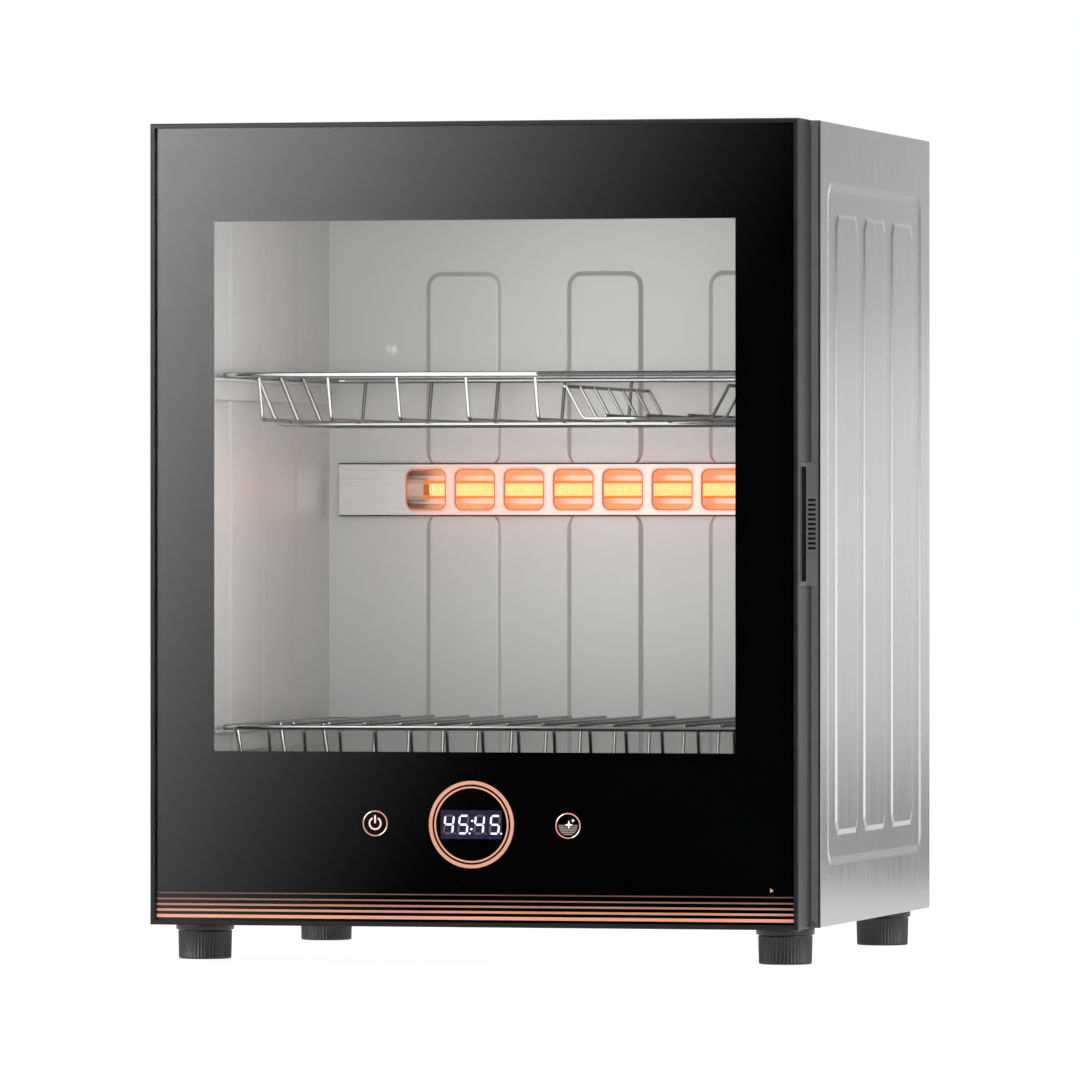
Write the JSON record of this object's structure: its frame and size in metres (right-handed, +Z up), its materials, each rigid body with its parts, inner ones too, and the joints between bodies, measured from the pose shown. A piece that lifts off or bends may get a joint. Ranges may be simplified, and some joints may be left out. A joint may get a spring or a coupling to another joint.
{
  "type": "dish sterilizer cabinet",
  "caption": "Counter-top dish sterilizer cabinet: steel box on feet, hinged glass door with a window and touch panel, pull-out wire racks, chopstick basket and a guarded heater tube.",
  "frame": {"origin": "under the middle of the cabinet's overall box, on the surface that its feet stand on", "axes": "+X to the viewer's right, +Y to the back, +Z up; the door faces -Y"},
  "size_m": [0.441, 0.408, 0.544],
  "materials": {
    "panel_steel": "vertically brushed, satin",
    "liner_steel": "satin stainless",
    "galvanised": "galvanised sheet",
    "black_frame": "fine satin moulded",
    "grey_frame": "dark grey satin coat",
    "clear_glass": "clear toughened glass",
    "black_print": "black ceramic print behind glass",
    "seal_rubber": "matt silicone",
    "foot_rubber": "matt, fluted",
    "chrome_wire": "bright plated wire",
    "guard_steel": "bright stainless",
    "quartz": "quartz tube",
    "filament": "glowing coil, emissive in the render",
    "ceramic": "unglazed",
    "reflector": "bright rolled",
    "glass_wool": "glass wool in foil",
    "board": "solder mask",
    "white_plastic": "moulded",
    "black_plastic": "moulded",
    "display_blue": "smoked display",
    "zinc_steel": "zinc plated",
    "magnet": "ferrite",
    "brass_bush": "plain"
  },
  "bodies": {
    "cabinet": {"side_panel_left": "panel_steel", "side_panel_right": "panel_steel", "top_panel": "panel_steel", "base_plate": "galvanised", "back_panel": "galvanised", "cord_gland": "black_plastic", "back_screws": "zinc_steel", "front_frame": "grey_frame", "liner_left": "liner_steel", "liner_right": "liner_steel", "liner_back": "liner_steel", "liner_top": "liner_steel", "liner_floor": "liner_steel", "insulation_left": "glass_wool", "insulation_right": "glass_wool", "insulation_top": "glass_wool", "upper_rails": "liner_steel", "lower_rails": "liner_steel", "heater_guard": "guard_steel", "heater_tube": "quartz", "heater_filament": "filament", "heater_end_caps": "ceramic", "heater_reflector": "reflector", "power_board": "board", "board_posts": "white_plastic", "terminal_block": "white_plastic", "thermal_cutout": "black_plastic", "temperature_sensor": "zinc_steel", "catch_magnet": "magnet", "door_switch": "black_plastic", "foot_front_left": "foot_rubber", "foot_front_right": "foot_rubber", "foot_rear_left": "foot_rubber", "foot_rear_right": "foot_rubber", "foot_screws": "zinc_steel", "lower_hinge_bracket": "zinc_steel", "upper_hinge_bracket": "zinc_steel"},
    "door": {"hinge_bushes": "brass_bush", "door_frame": "black_frame", "door_glass": "clear_glass", "glass_print": "black_print", "inner_glass": "clear_glass", "inner_panel": "grey_frame", "inner_panel_screws": "zinc_steel", "door_gasket": "seal_rubber", "finger_pull": "black_plastic", "touch_board": "board", "display_module": "display_blue", "strike_plate": "zinc_steel", "switch_magnet": "magnet"},
    "upper_rack": {"upper_rack": "chrome_wire"},
    "lower_rack": {"lower_rack": "chrome_wire"},
    "basket": {"chopstick_basket": "chrome_wire"}
  },
  "joints": [
    {"name": "door_hinge", "type": "hinge", "parent": "cabinet", "child": "door", "pos_m": [-0.206, -0.175, 0.284], "axis": [0, 0, -1], "range_deg": [0, 100]},
    {"name": "upper_rack_slide", "type": "slide", "parent": "cabinet", "child": "upper_rack", "axis": [0, -1, 0], "range_m": [0, 0.032]},
    {"name": "lower_rack_slide", "type": "slide", "parent": "cabinet", "child": "lower_rack", "axis": [0, -1, 0], "range_m": [0, 0.032]},
    {"name": "basket_lift", "type": "slide", "parent": "upper_rack", "child": "basket", "axis": [0, 0, 1], "range_m": [0, 0.1]}
  ]
}
